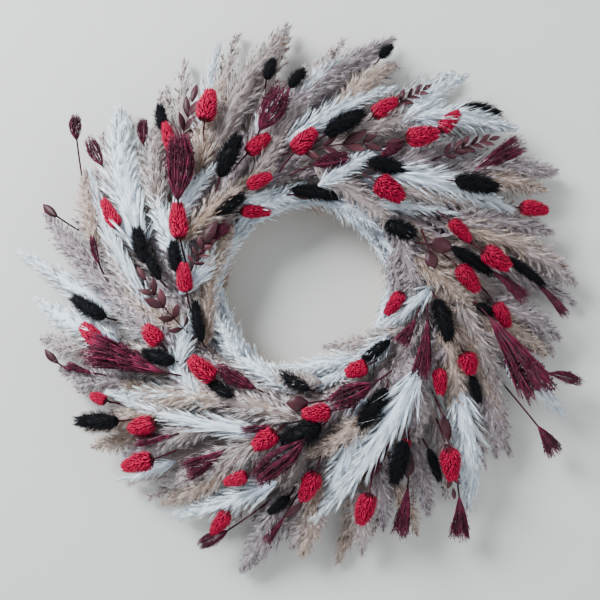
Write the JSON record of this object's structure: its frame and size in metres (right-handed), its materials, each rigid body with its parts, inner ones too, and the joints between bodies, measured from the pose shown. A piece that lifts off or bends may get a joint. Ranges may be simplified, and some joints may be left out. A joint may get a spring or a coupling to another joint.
{
  "type": "dried flower door wreath",
  "caption": "Round door wreath of dried plumes, tails, seed heads and leaves bound with wire on a straw ring, with a hanging eye behind the top.",
  "frame": {"origin": "centre of the wreath's bounding box at its back; the ring's centre is at X +7.0 mm, Y +10.2 mm", "axes": "+Z out of the wreath's face, +Y towards the hanging eye at the top, +X to the right seen from the front"},
  "size_m": [0.5197, 0.5086, 0.0933],
  "materials": {
    "straw": "matte",
    "binding_wire": "satin",
    "eye_wire": "satin",
    "white_plume": "matte",
    "natural_plume": "matte",
    "black_tail": "matte",
    "red_head": "matte",
    "burgundy_broom": "matte",
    "burgundy_leaf": "matte"
  },
  "bodies": {
    "root": {"binding_wire": "binding_wire", "black_bunny_tail_01": "black_tail", "black_bunny_tail_02": "black_tail", "black_bunny_tail_03": "black_tail", "black_bunny_tail_04": "black_tail", "black_bunny_tail_05": "black_tail", "black_bunny_tail_06": "black_tail", "burgundy_broom_01": "burgundy_broom", "burgundy_broom_02": "burgundy_broom", "burgundy_broom_03": "burgundy_broom", "burgundy_broom_04": "burgundy_broom", "burgundy_broom_05": "burgundy_broom", "hanger_wire_eye": "eye_wire", "leaf_sprig_01": "burgundy_leaf", "natural_plume_inner_02": "natural_plume", "natural_plume_inner_04": "natural_plume", "natural_plume_inner_06": "natural_plume", "natural_plume_middle_01": "natural_plume", "natural_plume_middle_03": "natural_plume", "natural_plume_middle_04": "natural_plume", "natural_plume_middle_06": "natural_plume", "natural_plume_middle_08": "natural_plume", "natural_plume_middle_10": "natural_plume", "natural_plume_middle_11": "natural_plume", "natural_plume_outer_01": "natural_plume", "natural_plume_outer_02": "natural_plume", "natural_plume_outer_03": "natural_plume", "natural_plume_outer_04": "natural_plume", "natural_plume_outer_07": "natural_plume", "natural_plume_outer_08": "natural_plume", "natural_plume_outer_11": "natural_plume", "natural_plume_outer_13": "natural_plume", "natural_plume_outer_14": "natural_plume", "natural_plume_outer_15": "natural_plume", "natural_plume_outer_17": "natural_plume", "natural_plume_outer_18": "natural_plume", "natural_plume_outer_20": "natural_plume", "red_phalaris_head_01": "red_head", "red_phalaris_head_02": "red_head", "red_phalaris_head_03": "red_head", "red_phalaris_head_04": "red_head", "red_phalaris_head_05": "red_head", "red_phalaris_head_06": "red_head", "straw_ring_base": "straw", "white_plume_inner_01": "white_plume", "white_plume_inner_03": "white_plume", "white_plume_inner_05": "white_plume", "white_plume_inner_07": "white_plume", "white_plume_middle_02": "white_plume", "white_plume_middle_05": "white_plume", "white_plume_middle_07": "white_plume", "white_plume_middle_09": "white_plume", "white_plume_outer_05": "white_plume", "white_plume_outer_06": "white_plume", "white_plume_outer_09": "white_plume", "white_plume_outer_10": "white_plume", "white_plume_outer_12": "white_plume", "white_plume_outer_16": "white_plume", "white_plume_outer_19": "white_plume"}
  },
  "joints": []
}
